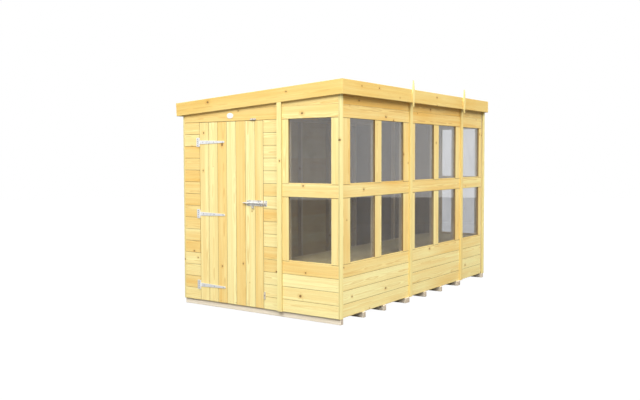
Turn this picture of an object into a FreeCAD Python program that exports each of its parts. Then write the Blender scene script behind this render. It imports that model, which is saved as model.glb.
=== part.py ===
import FreeCAD, Part
import Sketcher
import os
import re

# A pent-roofed potting shed built from timber wall panels.
# Millimetres, +Z up, the door end faces -Y and the glazed long side faces +X.
# The origin is on the ground under the middle of the shed's outer box.

SIZES = {
    # wall panels
    "panel_width": 1200,
    "half_panel_width": 600,
    "stud_width": 34,
    "frame_depth": 45,
    "sole_height": 60,
    "sill_height": 70,
    "gable_rise": 10,
    # tongued and grooved boards
    "board_cover": 114.5,
    "board_thickness": 12,
    "tongue_length": 10,
    "tongue_thickness": 4,
    "tongue_clearance": 0.25,
    "joint_chamfer": 2.5,
    # windows
    "stile_width": 114,
    "near_stile_width": 128,
    "mullion_width": 114,
    "half_stile_width": 72,
    "glass_thickness": 4,
    "glass_rebate": 10,
    "glass_clearance": 1,
    "bead_width": 12,
    "bead_depth": 14,
    # floor
    "bearer_height": 50,
    "bearer_width": 38,
    "bearer_pitch": 368,
    "bearer_reach": 16,
    # potting bench
    "bench_depth": 650,
    "bench_gap": 12,
    # roof
    "rafter_depth": 63,
    "rafter_width": 38,
    "side_overhang": 36,
    "rear_overhang": 77,
    "roof_setback": 26,
    "felt_thickness": 3,
    "felt_lap": 75,
    "fascia_height": 127,
    "fascia_thickness": 18,
    "fascia_rise": 9.5,
    "finial_width": 42,
    "finial_thickness": 14,
    "finial_rise": 88,
    "finial_shoulder": 42,
    "finial_drop": 45,
    "finial_tip": 8,
    # cover strips and corner trims
    "strip_width": 50,
    "strip_thickness": 18,
    "strip_lap": 2,
    "trim_width": 45,
    "trim_thickness": 20,
    # door
    "door_width": 790,
    "door_shift": 8,
    "door_gap": 3,
    "door_lift": 4,
    "door_stop": 12,
    "ledge_width": 90,
    "ledge_thickness": 22,
    "ledge_inset": 30,
    "brace_width": 90,
    "brace_inset": 20,
    # tee hinges
    "hinge_low": 150,
    "hinge_high": 190,
    "strap_length": 320,
    "strap_root": 37,
    "strap_tip": 18,
    "strap_thickness": 3,
    "flap_width": 40,
    "flap_height": 86,
    "flap_notch": 6.5,
    "knuckle_radius": 5,
    "knuckle_gap": 0.7,
    "pin_radius": 2.5,
    "pin_fit": 0.05,
    "hinge_standoff": 5.3,
    # sliding bolt
    "bolt_level": 963,
    "bolt_plate_length": 190,
    "bolt_plate_height": 52,
    "bolt_plate_thickness": 2.5,
    "bolt_edge": 4,
    "bolt_radius": 5,
    "bolt_standoff": 8.5,
    "bolt_clearance": 0.3,
    "bolt_travel": 42,
    "guide_width": 14,
    "guide_wall": 2.5,
    "handle_width": 24,
    "handle_drop": 48,
    "handle_thickness": 4,
    "padlock_hole_radius": 4,
    "keep_length": 38,
    "keep_inset": 4,
    # turn buttons and plaque
    "button_length": 68,
    "button_width": 16,
    "button_thickness": 8,
    "button_gap": 0.5,
    "button_inset": 115,
    "button_level": 125,
    "plaque_width": 78,
    "plaque_height": 52,
    "plaque_thickness": 3,
    "plaque_inset": 394,
    "plaque_rise": 51.5,
    # screws
    "screw_radius": 2.5,
    "screw_clearance": 0.08,
    "screw_head_radius": 4.5,
    "screw_head_height": 2,
}

# Board courses in the walls, counted up from the bottom
HIGH_ROWS = 17
LOW_ROWS = 16
SILL_ROWS = 4
PANE_ROWS = 5
RAIL_ROW = SILL_ROWS + PANE_ROWS
HEAD_ROW = RAIL_ROW + PANE_ROWS + 1
# Bays between the bench's legs
BENCH_BAYS = 3
# A last board is never ripped narrower than this
NARROWEST = 20
# Screws along a hinge strap and up a hinge flap, as shares of its length
STRAP_SCREWS = (0.14, 0.57, 0.93)
FLAP_SCREWS = (-0.36, -0.12, 0.12, 0.36)
# Width of a screw head's top against its foot
HEAD_TAPER = 0.6

X = FreeCAD.Vector(1, 0, 0)
Y = FreeCAD.Vector(0, 1, 0)
Z = FreeCAD.Vector(0, 0, 1)

doc = FreeCAD.newDocument("potting_shed")
sheet = doc.addObject("Spreadsheet::Sheet", "sizes")
for row, (name, value) in enumerate(SIZES.items(), 1):
    sheet.set(f"A{row}", name)
    sheet.set(f"B{row}", str(value))
    sheet.setAlias(f"B{row}", name)
doc.recompute()

# Formulas that several pieces share, in the names of the sheet's cells
END_WIDTH = "(panel_width + half_panel_width)"
WALL_DEPTH = "(board_thickness + frame_depth)"
LENGTH = f"(2 * panel_width + half_panel_width + 2 * {WALL_DEPTH})"
HIGH = f"({HIGH_ROWS} * board_cover)"
LOW = f"({LOW_ROWS} * board_cover)"
FALL = f"(({HIGH} - {LOW}) / {END_WIDTH})"
COS = f"(1 / sqrt(1 + {FALL} ^ 2))"
SIN = f"({FALL} * {COS})"
SIDE_TOP = f"({HIGH} - {FALL} * {WALL_DEPTH})"
SOLE_TOP = "(board_thickness + sole_height)"
FRONT = f"(-{LENGTH} / 2)"
BACK = f"({LENGTH} / 2)"

# Roof build-up above the underside of the rafters, and how far the fascia hangs below it
FASCIA_TOP = "(rafter_depth + board_thickness + felt_thickness + fascia_rise)"
FASCIA_HANG = f"(fascia_height - {FASCIA_TOP})"
SLOPE_LENGTH = f"({END_WIDTH} / {COS} + rear_overhang + side_overhang)"
ROOF_EDGE = f"({END_WIDTH} / {COS} + side_overhang)"
ROOF_JOINTS = [f"({WALL_DEPTH} + {count} * panel_width - roof_setback)" for count in (1, 2)]

# The rear wall's outer face, placed so that the outer box is centred on the origin
WALL_LEFT = (f"(-({END_WIDTH} + fascia_thickness + finial_thickness - {FASCIA_TOP} * {SIN}"
             f" + (side_overhang - rear_overhang - fascia_thickness) * {COS}) / 2)")
WALL_RIGHT = f"({WALL_LEFT} + {END_WIDTH})"

# Each wall's local frame has X going into the wall, Y along it to the left as seen from
# outside and Z up: the place of its origin, its turn about Z and the height of its frame
WALLS = {
    "front": (WALL_RIGHT, FRONT, 90, lambda along: f"({HIGH} - {FALL} * ({along}))"),
    "side": (WALL_RIGHT, BACK, 180, lambda along: SIDE_TOP),
    "back": (WALL_LEFT, BACK, -90, lambda along: f"({LOW} + {FALL} * ({along}))"),
    "rear": (WALL_LEFT, FRONT, 0, lambda along: LOW),
}

nodes = []
profiles = {}


def named(formula):
    return re.sub(r"[a-z]+(_[a-z]+)+", lambda word: "sizes." + word.group(), formula)


def bind(thing, path, formula):
    thing.setExpression(path, named(formula))


def number(formula):
    return float(sheet.evalExpression(named(formula)))


def put(thing, x, y, z):
    for axis, formula in zip("xyz", (x, y, z)):
        bind(thing, f"Placement.Base.{axis}", formula)
    return thing


# Solid primitives

def box(x, y, z, dx, dy, dz):
    piece = doc.addObject("Part::Box", "block")
    for size, formula in (("Length", dx), ("Width", dy), ("Height", dz)):
        bind(piece, size, formula)
    return put(piece, x, y, z)


def prism(x, dx, y, dy, low, high, low_end, high_end):
    # a timber along Y whose lower and upper edges may slope
    piece = doc.addObject("Part::Wedge", "timber")
    for size in ("Xmin", "X2min"):
        bind(piece, size, x)
    for size in ("Xmax", "X2max"):
        bind(piece, size, f"({x}) + ({dx})")
    bind(piece, "Ymin", y)
    bind(piece, "Ymax", f"({y}) + ({dy})")
    for size, formula in (("Zmin", low), ("Zmax", high), ("Z2min", low_end), ("Z2max", high_end)):
        bind(piece, size, formula)
    return piece


def turned(piece, along):
    # round pieces stand along Z, run along X, or point out of a wall face along -Y
    turns = {"x": FreeCAD.Rotation(Y, 90), "out": FreeCAD.Rotation(X, 90), "z": FreeCAD.Rotation()}
    piece.Placement = FreeCAD.Placement(FreeCAD.Vector(), turns[along])
    return piece


def rod(x, y, z, radius, length, along):
    piece = turned(doc.addObject("Part::Cylinder", "rod"), along)
    bind(piece, "Radius", radius)
    bind(piece, "Height", length)
    return put(piece, x, y, z)


def head(x, y, z, radius, height):
    # a screw head that narrows towards its top
    piece = turned(doc.addObject("Part::Cone", "head"), "out")
    bind(piece, "Radius1", radius)
    bind(piece, "Radius2", f"{HEAD_TAPER} * ({radius})")
    bind(piece, "Height", height)
    return put(piece, x, y, z)


def outline(points, upright=True):
    # a closed sketch through points given as pairs of formulas, in the XZ or the XY plane
    sketch = doc.addObject("Sketcher::SketchObject", "outline")
    if upright:
        sketch.Placement = FreeCAD.Placement(FreeCAD.Vector(), FreeCAD.Rotation(X, 90))
    values = [FreeCAD.Vector(number(across), number(up), 0) for across, up in points]
    count = len(points)
    for index in range(count):
        sketch.addGeometry(Part.LineSegment(values[index], values[(index + 1) % count]), False)
    for index in range(count):
        sketch.addConstraint(Sketcher.Constraint("Coincident", index, 2, (index + 1) % count, 1))
    for index, (across, up) in enumerate(points):
        for kind, formula, value, axis in (("DistanceX", across, values[index].x, -2),
                                           ("DistanceY", up, values[index].y, -1)):
            if formula == "0":
                sketch.addConstraint(Sketcher.Constraint("PointOnObject", index, 1, axis))
                continue
            place = sketch.addConstraint(Sketcher.Constraint(kind, -1, 1, index, 1, value))
            bind(sketch, f"Constraints[{place}]", formula)
    return sketch


def extrude(sketch, direction, length, x="0", y="0", z="0"):
    piece = doc.addObject("Part::Extrusion", "extrusion")
    piece.Base = sketch
    piece.DirMode = "Custom"
    piece.Dir = direction
    piece.Solid = True
    bind(piece, "LengthFwd", length)
    return put(piece, x, y, z)


def joined(pieces, holes=()):
    body = doc.addObject("Part::MultiFuse", "joined")
    body.Shapes = pieces
    body.Refine = True
    if not holes:
        return body
    tools = doc.addObject("Part::Compound", "holes")
    tools.Links = list(holes)
    drilled = doc.addObject("Part::Cut", "drilled")
    drilled.Base = body
    drilled.Tool = tools
    return drilled


# Named sub-parts: each is a group of separate solids with its own place

def group(label, pieces, x="0", y="0", z="0", axis=Z, angle=0):
    part = doc.addObject("Part::Compound", label)
    part.Label = label
    part.Links = pieces
    part.Placement = FreeCAD.Placement(FreeCAD.Vector(), FreeCAD.Rotation(axis, angle))
    nodes.append(part)
    return put(part, x, y, z)


def wall_group(label, wall, pieces):
    x, y, turn, _ = WALLS[wall]
    return group(label, pieces, x, y, "bearer_height", angle=turn)


def roof_group(label, pieces):
    # the roof's local frame: X down square to the slope, Y along the shed, Z up the slope
    part = group(label, pieces, WALL_LEFT, FRONT, f"bearer_height + {LOW}", axis=Y, angle=90)
    bind(part, "Placement.Rotation.Angle", f"90 deg - atan({FALL})")
    return part


def floor_group(label, pieces):
    # the floor's local frame: X down, Y along the shed, Z across it
    return group(label, pieces, f"{WALL_LEFT} + board_thickness", f"{FRONT} + board_thickness",
                 "bearer_height + board_thickness", axis=Y, angle=90)


def bench_group(label, pieces):
    # the bench's local frame: X down from its top, Y along the shed, Z across it to the windows
    return group(label, pieces, f"{WALL_RIGHT} - {WALL_DEPTH} - bench_depth",
                 f"{FRONT} + {WALL_DEPTH} + bench_gap", f"bearer_height + {SILL}", axis=Y, angle=90)


# Boards

def board_profile(cover, tongue=True):
    # face at X = 0 with a chamfer at each joint, groove below and tongue above
    if (cover, tongue) in profiles:
        return profiles[cover, tongue]
    inner = "(board_thickness + tongue_thickness) / 2"
    outer = "(board_thickness - tongue_thickness) / 2"
    groove = "tongue_length + 2 * tongue_clearance"
    points = [
        ("joint_chamfer", "0"),
        (f"{outer} - tongue_clearance", "0"),
        (f"{outer} - tongue_clearance", groove),
        (f"{inner} + tongue_clearance", groove),
        (f"{inner} + tongue_clearance", "0"),
        ("board_thickness", "0"),
        ("board_thickness", cover),
    ]
    if tongue:
        points += [
            (inner, cover),
            (inner, f"{cover} + tongue_length"),
            (outer, f"{cover} + tongue_length"),
            (outer, cover),
        ]
    points += [
        ("joint_chamfer", cover),
        ("0", f"{cover} - joint_chamfer"),
        ("0", "joint_chamfer"),
    ]
    profiles[cover, tongue] = outline(points)
    return profiles[cover, tongue]


def board(along, up, length, cover="board_cover", tongue=True, depth="0"):
    return extrude(board_profile(cover, tongue), Y, length, depth, along, up)


def courses(width):
    # whole boards and a ripped last one that together fill a width
    whole = int((number(width) - NARROWEST) // number("board_cover"))
    rows = [(f"{index} * board_cover", "board_cover", True) for index in range(whole)]
    return rows + [(f"{whole} * board_cover", f"{width} - {whole} * board_cover", False)]


def row_board(index, start, width):
    return board(start, f"{index} * board_cover", width, tongue=index < LOW_ROWS - 1)


def eaves_board(wall, start, width, rise):
    # the plain board above the last course, cut to the roof line
    top = WALLS[wall][3]
    end = f"{start} + {width}"
    return prism("0", "board_thickness", start, width, LOW, f"{top(start)} + {rise}",
                 LOW, f"{top(end)} + {rise}")


# Wall panel frames

def stud(wall, along, width="stud_width"):
    top = WALLS[wall][3]
    end = f"{along} + {width}"
    return prism("board_thickness", "frame_depth", along, width, SOLE_TOP, f"{top(along)} - stud_width",
                 SOLE_TOP, f"{top(end)} - stud_width")


def rail(along, up, width, height):
    return box("board_thickness", along, up, "frame_depth", width, height)


def top_rail(wall, start, width):
    top = WALLS[wall][3]
    end = f"{start} + {width}"
    return prism("board_thickness", "frame_depth", start, width, f"{top(start)} - stud_width", top(start),
                 f"{top(end)} - stud_width", top(end))


def plates(wall, start, width):
    return [rail(start, "board_thickness", width, "sole_height"), top_rail(wall, start, width)]


def edge_studs(wall, start, width):
    return [stud(wall, start), stud(wall, f"{start} + {width} - stud_width")]


def plain_frame(wall, start, width, middle):
    pieces = plates(wall, start, width) + edge_studs(wall, start, width)
    if middle:
        pieces.append(stud(wall, f"{start} + ({width} - stud_width) / 2"))
    return pieces


SILL = f"({SILL_ROWS} * board_cover - glass_rebate)"
LOWER_TOP = f"({RAIL_ROW} * board_cover + glass_rebate)"
UPPER_SILL = f"({RAIL_ROW + 1} * board_cover - glass_rebate)"
UPPER_TOP = f"({HEAD_ROW} * board_cover + glass_rebate)"


def window_frame(wall, start, width, columns, half):
    pieces = plates(wall, start, width)
    jamb = "half_stile_width - glass_rebate" if half else "stud_width"
    if not half:
        pieces += edge_studs(wall, start, width)
    for along, pane in columns:
        pieces.append(stud(wall, f"{along} - glass_rebate - ({jamb})", f"({jamb})"))
        pieces.append(stud(wall, f"{along} + {pane} + glass_rebate", f"({jamb})"))
        span = f"{pane} + 2 * glass_rebate"
        pieces.append(rail(f"{along} - glass_rebate", f"{SILL} - sill_height", span, "sill_height"))
        pieces.append(rail(f"{along} - glass_rebate", f"{UPPER_TOP} + glass_clearance", span, "stud_width"))
    return pieces


def glass_panes(columns):
    pieces = []
    for along, pane in columns:
        left = f"{along} - glass_rebate + glass_clearance"
        width = f"{pane} + 2 * (glass_rebate - glass_clearance)"
        for low, high in ((SILL, LOWER_TOP), (UPPER_SILL, UPPER_TOP)):
            pieces.append(box("board_thickness", left, low, "glass_thickness", width, f"{high} - {low}"))
    return pieces


def glazing_beads(columns):
    # beads behind each pane, and a transom between the lower and the upper one
    behind = "board_thickness + glass_thickness"
    pieces = []
    for along, pane in columns:
        left = f"{along} - glass_rebate"
        span = f"{pane} + 2 * glass_rebate"
        foot = f"{LOWER_TOP} + glass_clearance"
        pieces.append(box("board_thickness", left, foot, "glass_thickness + bead_depth", span,
                          f"{UPPER_SILL} - ({foot})"))
        for low, high in ((SILL, LOWER_TOP), (UPPER_SILL, UPPER_TOP)):
            tall = f"{high} + glass_clearance - {low}"
            for edge in (left, f"{left} + {span} - bead_width"):
                pieces.append(box(behind, edge, low, "bead_depth", "bead_width", tall))
            for up in (low, f"{high} + glass_clearance - bead_width"):
                pieces.append(box(behind, f"{left} + bead_width", up, "bead_depth",
                                  f"{span} - 2 * bead_width", "bead_width"))
    return pieces


def window_boards(wall, start, width, columns, rise):
    whole = [*range(SILL_ROWS), RAIL_ROW, HEAD_ROW]
    pieces = [row_board(index, start, width) for index in whole]
    pieces.append(eaves_board(wall, start, width, rise))
    # stiles and mullions stand between the openings
    edges = [start]
    for along, pane in columns:
        edges += [along, f"{along} + {pane}"]
    edges.append(f"{start} + {width}")
    for left, right in zip(edges[::2], edges[1::2]):
        for index in (SILL_ROWS, RAIL_ROW + 1):
            pieces.append(board(left, f"{index} * board_cover", f"{right} - ({left})",
                                f"{PANE_ROWS} * board_cover"))
    return pieces


def plain_boards(wall, start, width, rise):
    pieces = [row_board(index, start, width) for index in range(LOW_ROWS)]
    if rise:
        pieces.append(eaves_board(wall, start, width, rise))
    return pieces


def full_columns(start):
    pane = "((panel_width - stile_width - near_stile_width - mullion_width) / 2)"
    first = f"{start} + stile_width"
    return [(first, pane), (f"{first} + {pane} + mullion_width", pane)]


def half_columns(start):
    return [(f"{start} + half_stile_width", "(half_panel_width - 2 * half_stile_width)")]


# Window panels: frame, boards, glass and beads

def window_panel(name, wall, start, half, rise):
    width = "half_panel_width" if half else "panel_width"
    columns = half_columns(start) if half else full_columns(start)
    wall_group(f"{name}_frame", wall, window_frame(wall, start, width, columns, half))
    wall_group(f"{name}_boards", wall, window_boards(wall, start, width, columns, rise))
    wall_group(f"{name}_panes", wall, glass_panes(columns))
    return glazing_beads(columns)


wall_group("front_window_beads", "front",
           window_panel("front_window", "front", "0", True, "gable_rise"))
wall_group("back_window_beads", "back",
           window_panel("back_window", "back", "panel_width", True, "gable_rise"))
side_starts = {
    "side_window_far": (WALL_DEPTH, True),
    "side_window_middle": (f"({WALL_DEPTH} + half_panel_width)", False),
    "side_window_near": (f"({WALL_DEPTH} + half_panel_width + panel_width)", False),
}
side_beads = []
for name, (start, half) in side_starts.items():
    side_beads += window_panel(name, "side", start, half, "0")
wall_group("side_window_beads", "side", side_beads)

# Plain panels at the far end and along the rear

wall_group("back_plain_frame", "back", plain_frame("back", "0", "panel_width", True))
wall_group("back_plain_boards", "back", plain_boards("back", "0", "panel_width", "gable_rise"))
rear_starts = {
    "rear_near": (WALL_DEPTH, "panel_width"),
    "rear_middle": (f"({WALL_DEPTH} + panel_width)", "panel_width"),
    "rear_far": (f"({WALL_DEPTH} + 2 * panel_width)", "half_panel_width"),
}
for name, (start, width) in rear_starts.items():
    wall_group(f"{name}_frame", "rear", plain_frame("rear", start, width, width == "panel_width"))
    wall_group(f"{name}_boards", "rear", plain_boards("rear", start, width, None))

# Door panel: boards beside and above the doorway, and the frame that the door shuts against

right_margin = "((panel_width - door_width) / 2 + door_shift)"
left_margin = "((panel_width - door_width) / 2 - door_shift)"
door_right = f"(half_panel_width + {right_margin})"
door_left = f"({door_right} + door_width)"
for label, start, width in (("door_panel_right_boards", "half_panel_width", right_margin),
                            ("door_panel_left_boards", door_left, left_margin)):
    wall_group(label, "front", [row_board(index, start, width) for index in range(HEAD_ROW)])
wall_group("door_panel_head_boards", "front", [
    row_board(HEAD_ROW, "half_panel_width", "panel_width"),
    eaves_board("front", "half_panel_width", "panel_width", "gable_rise"),
])
jamb_right = f"({door_right} + door_stop - stud_width)"
jamb_left = f"({door_left} - door_stop)"
wall_group("door_panel_frame", "front", [
    top_rail("front", "half_panel_width", "panel_width"),
    *edge_studs("front", "half_panel_width", "panel_width"),
    stud("front", jamb_right),
    stud("front", jamb_left),
    rail("half_panel_width", "board_thickness", f"{right_margin} + door_stop", "sole_height"),
    rail(jamb_left, "board_thickness", f"{left_margin} + door_stop", "sole_height"),
    rail(f"{jamb_right} + stud_width", f"{HEAD_ROW} * board_cover - door_stop",
         "door_width - 2 * door_stop", "stud_width"),
])

# Cover strips over the panel joints and trims at the corners

def upright(along, width, thickness, height):
    return box(f"-{thickness}", along, "0", thickness, width, height)


def end_strip(wall, along):
    # runs up to the underside of the sloping fascia
    top = WALLS[wall][3]
    drop = f"{FASCIA_HANG} / {COS}"
    end = f"{along} + strip_width"
    return prism("-strip_thickness", "strip_thickness", along, "strip_width", "0",
                 f"{top(along)} - {drop}", "0", f"{top(end)} - {drop}")


wall_group("front_cover_strip", "front", [end_strip("front", "half_panel_width - strip_lap")])
wall_group("back_cover_strip", "back", [end_strip("back", "panel_width - strip_width + strip_lap")])
REAR_COVER_TOP = f"{LOW} - {FALL} * strip_thickness"
REAR_TRIM_TOP = f"{LOW} - {FALL} * trim_thickness"
wall_group("side_cover_strips", "side", [
    upright(f"{start} - strip_width + strip_lap", "strip_width", "strip_thickness", SIDE_TOP)
    for start, _ in list(side_starts.values())[1:]
])
wall_group("rear_cover_strips", "rear", [
    upright(f"{start} - strip_lap", "strip_width", "strip_thickness", REAR_COVER_TOP)
    for start, _ in list(rear_starts.values())[1:]
])
for wall, height in (("side", SIDE_TOP), ("rear", REAR_TRIM_TOP)):
    wall_group(f"{wall}_corner_trims", wall, [
        upright(along, "trim_width", "trim_thickness", height)
        for along in ("0", f"{LENGTH} - trim_width")
    ])

# Floor: bearers across the shed and three panels of boards along it

floor_last = f"({LENGTH} - 2 * board_thickness - 2 * panel_width)"
floor_panels = [("0", "panel_width"), ("panel_width", "panel_width"), ("2 * panel_width", floor_last)]
bearers = []
floor_boards = []
for start, length in floor_panels:
    offsets = ["0", f"{length} - bearer_width"]
    if length == "panel_width":
        offsets += ["bearer_pitch", "2 * bearer_pitch"]
    for offset in offsets:
        along = f"{FRONT} + board_thickness + {start} + {offset}"
        bearers.append(box(f"{WALL_LEFT} - bearer_reach", along, "0", f"{END_WIDTH} + 2 * bearer_reach",
                           "bearer_width", "bearer_height"))
    for up, cover, tongue in courses(f"({END_WIDTH} - 2 * board_thickness)"):
        floor_boards.append(board(start, up, length, cover, tongue))
group("floor_bearers", bearers)
floor_group("floor_boards", floor_boards)

# Potting bench along the glazed side, level with the window sills: boards on cross rails
# between a front rail on legs and a back rail on the wall frames

BENCH_LENGTH = f"({LENGTH} - 2 * {WALL_DEPTH} - 2 * bench_gap)"
BENCH_RAIL = "(board_thickness + frame_depth)"
bench_steps = [f"{count} / {BENCH_BAYS}" for count in range(BENCH_BAYS + 1)]
bench_group("bench_boards", [
    board("0", f"stud_width + {up}", BENCH_LENGTH, cover, tongue)
    for up, cover, tongue in courses("(bench_depth - stud_width)")
])
bench_rails = [
    box("0", "0", "0", BENCH_RAIL, BENCH_LENGTH, "stud_width"),
    box("board_thickness", "0", "bench_depth - stud_width", "frame_depth", BENCH_LENGTH, "stud_width"),
]
for step in bench_steps:
    bench_rails.append(box("board_thickness", f"{step} * ({BENCH_LENGTH} - stud_width)", "stud_width",
                           "frame_depth", "stud_width", "bench_depth - 2 * stud_width"))
bench_group("bench_rails", bench_rails)
bench_group("bench_legs", [
    box(BENCH_RAIL, f"{step} * ({BENCH_LENGTH} - frame_depth)", "0",
        f"{SILL} - board_thickness - {BENCH_RAIL}", "frame_depth", "stud_width")
    for step in bench_steps
])

# Roof: rafters, deck boards in three panels, felt in two lapped sheets

roof_edges = ["0", *ROOF_JOINTS, LENGTH]
rafters = []
deck = []
for count, (start, end) in enumerate(zip(roof_edges, roof_edges[1:])):
    first = "board_thickness" if count == 0 else start
    last = f"{end} - rafter_width"
    if count == 2:
        last += " - board_thickness"
    places = [first, last]
    if count < 2:
        places.append(f"({first} + {last}) / 2")
    for along in places:
        rafters.append(box("-rafter_depth", along, "-rear_overhang", "rafter_depth", "rafter_width",
                           SLOPE_LENGTH))
    for up, cover, tongue in courses(f"({SLOPE_LENGTH} + {FALL} * rafter_depth)"):
        deck.append(board(start, f"{up} - rear_overhang", f"{end} - {start}", cover, tongue,
                          "-rafter_depth - board_thickness"))
roof_group("roof_rafters", rafters)
roof_group("roof_boards", deck)

DECK_TOP = "-rafter_depth - board_thickness"
FELT_TOP = f"{DECK_TOP} - felt_thickness"
LAP_TOP = f"{FELT_TOP} - felt_thickness"
FELT_JOINT = f"({SLOPE_LENGTH} / 2 - rear_overhang)"
FELT_EASE = f"{FELT_JOINT} + 3 * felt_thickness"
lower_felt = box(FELT_TOP, "0", "-rear_overhang", "felt_thickness", LENGTH, f"{FELT_JOINT} + rear_overhang")
felt_edge = f"{ROOF_EDGE} + {FALL} * (rafter_depth + board_thickness)"
upper_felt = extrude(outline([
    (DECK_TOP, FELT_EASE),
    (DECK_TOP, felt_edge),
    (FELT_TOP, felt_edge),
    (FELT_TOP, FELT_EASE),
    (LAP_TOP, FELT_JOINT),
    (LAP_TOP, f"{FELT_JOINT} - felt_lap"),
    (FELT_TOP, f"{FELT_JOINT} - felt_lap"),
    (FELT_TOP, FELT_JOINT),
]), Y, LENGTH)
roof_group("roof_felt", [lower_felt, upper_felt])

# Fascia boards: square to the roof at the rear, plumb on the glazed side with a lozenge over each joint

FASCIA_FOOT = "-rear_overhang - fascia_thickness"
FASCIA_FACE = f"({ROOF_EDGE} + fascia_thickness / {COS})"


def plumb(edge, down):
    # a place up the slope that stays on one upright line at any depth
    return f"{edge} - {FALL} * ({down})"


end_outline = outline([
    (f"-{FASCIA_TOP}", FASCIA_FOOT),
    (FASCIA_HANG, FASCIA_FOOT),
    (FASCIA_HANG, plumb(FASCIA_FACE, FASCIA_HANG)),
    (f"-{FASCIA_TOP}", plumb(FASCIA_FACE, f"-{FASCIA_TOP}")),
])
for label, along in (("front_fascia", "-fascia_thickness"), ("back_fascia", LENGTH)):
    roof_group(label, [extrude(end_outline, Y, "fascia_thickness", y=along)])
side_outline = outline([
    (f"-{FASCIA_TOP}", plumb(ROOF_EDGE, f"-{FASCIA_TOP}")),
    (FASCIA_HANG, plumb(ROOF_EDGE, FASCIA_HANG)),
    (FASCIA_HANG, plumb(FASCIA_FACE, FASCIA_HANG)),
    (f"-{FASCIA_TOP}", plumb(FASCIA_FACE, f"-{FASCIA_TOP}")),
])
roof_lengths = [(start, f"{end} - {start}") for start, end in zip(roof_edges, roof_edges[1:])]
roof_group("side_fascia", [extrude(side_outline, Y, length, y=start) for start, length in roof_lengths])
roof_group("rear_fascia", [
    box(f"-{FASCIA_TOP}", start, FASCIA_FOOT, "fascia_height", length, "fascia_thickness")
    for start, length in roof_lengths
])
lozenge = outline([
    (f"-{FASCIA_TOP} - finial_rise", "0"),
    (f"finial_shoulder - {FASCIA_TOP}", "finial_width / 2"),
    (f"{FASCIA_HANG} + finial_drop", "finial_tip / 2"),
    (f"{FASCIA_HANG} + finial_drop", "-finial_tip / 2"),
    (f"finial_shoulder - {FASCIA_TOP}", "-finial_width / 2"),
], upright=False)
group("fascia_finials", [extrude(lozenge, Z, "finial_thickness", y=joint) for joint in ROOF_JOINTS],
      f"{WALL_LEFT} + {FASCIA_FACE} * {COS}", FRONT, f"bearer_height + {LOW} + {FASCIA_FACE} * {SIN}",
      axis=Y, angle=90)

# Door leaf and its metalwork, from the doorway's lower left corner on the wall face

DOOR_X = f"({WALL_RIGHT} - {door_left})"
LEAF_WIDTH = "(door_width - 2 * door_gap)"
LEAF_TOP = f"({HEAD_ROW} * board_cover - door_gap)"
HINGE_X = "(door_gap / 2)"
top_hinge = f"({HEAD_ROW} * board_cover - hinge_high)"
HINGES = ["hinge_low", f"((hinge_low + {top_hinge}) / 2)", top_hinge]


def door_group(label, pieces):
    return group(label, pieces, DOOR_X, FRONT, "bearer_height")


# Boards stand upright: across the leaf from the hinge side, tongue towards the latch side
group("door_boards", [
    board("0", up, f"{LEAF_TOP} - door_lift", cover, tongue) for up, cover, tongue in courses(LEAF_WIDTH)
], f"{DOOR_X} + door_gap", FRONT, "bearer_height + door_lift", axis=X + Y + Z, angle=120)

door_group("door_ledges", [
    box("door_gap + ledge_inset", "board_thickness", f"{level} - ledge_width / 2",
        f"{LEAF_WIDTH} - 2 * ledge_inset", "ledge_thickness", "ledge_width")
    for level in HINGES
])
braces = []
for lower, upper in zip(HINGES, HINGES[1:]):
    foot = f"{lower} + ledge_width / 2"
    crown = f"{upper} - ledge_width / 2"
    hinge_side = "door_gap + ledge_inset + brace_inset"
    latch_side = f"door_gap + {LEAF_WIDTH} - ledge_inset - brace_inset"
    braces.append(extrude(outline([
        (hinge_side, foot),
        (f"{hinge_side} + brace_width", foot),
        (latch_side, crown),
        (f"{latch_side} - brace_width", crown),
    ]), Y, "ledge_thickness", y="board_thickness"))
door_group("door_braces", braces)


def screw(x, z, thickness):
    # the head and the shank that passes through the metal, down to the wood
    shank = rod(x, "0", z, "screw_radius", thickness, "out")
    return joined([shank, head(x, f"-({thickness})", z, "screw_head_radius", "screw_head_height")])


def screw_hole(x, z, thickness):
    return rod(x, "0", z, "screw_radius + screw_clearance", thickness, "out")


# Tee hinges: straps on the door, flaps on the frame, pins held in the flaps

strap_outline = outline([
    ("0", "-strap_root / 2"),
    ("strap_length - strap_tip / 2", "-strap_tip / 2"),
    ("strap_length - strap_tip / 2", "strap_tip / 2"),
    ("0", "strap_root / 2"),
])
strap_screws = [f"{HINGE_X} + {share} * strap_length" for share in STRAP_SCREWS]
flap_reach = "(strap_root / 2 + knuckle_gap)"
flap_screw_x = f"{HINGE_X} - (flap_width + flap_notch) / 2"
flap_screws = [f"{share} * flap_height" for share in FLAP_SCREWS]


def knuckle(foot, length):
    return rod(HINGE_X, "-hinge_standoff", foot, "knuckle_radius", length, "z")


def pin_bore(level):
    return rod(HINGE_X, "-hinge_standoff", f"{level} - flap_height", "pin_radius + pin_fit",
               "2 * flap_height", "z")


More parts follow.
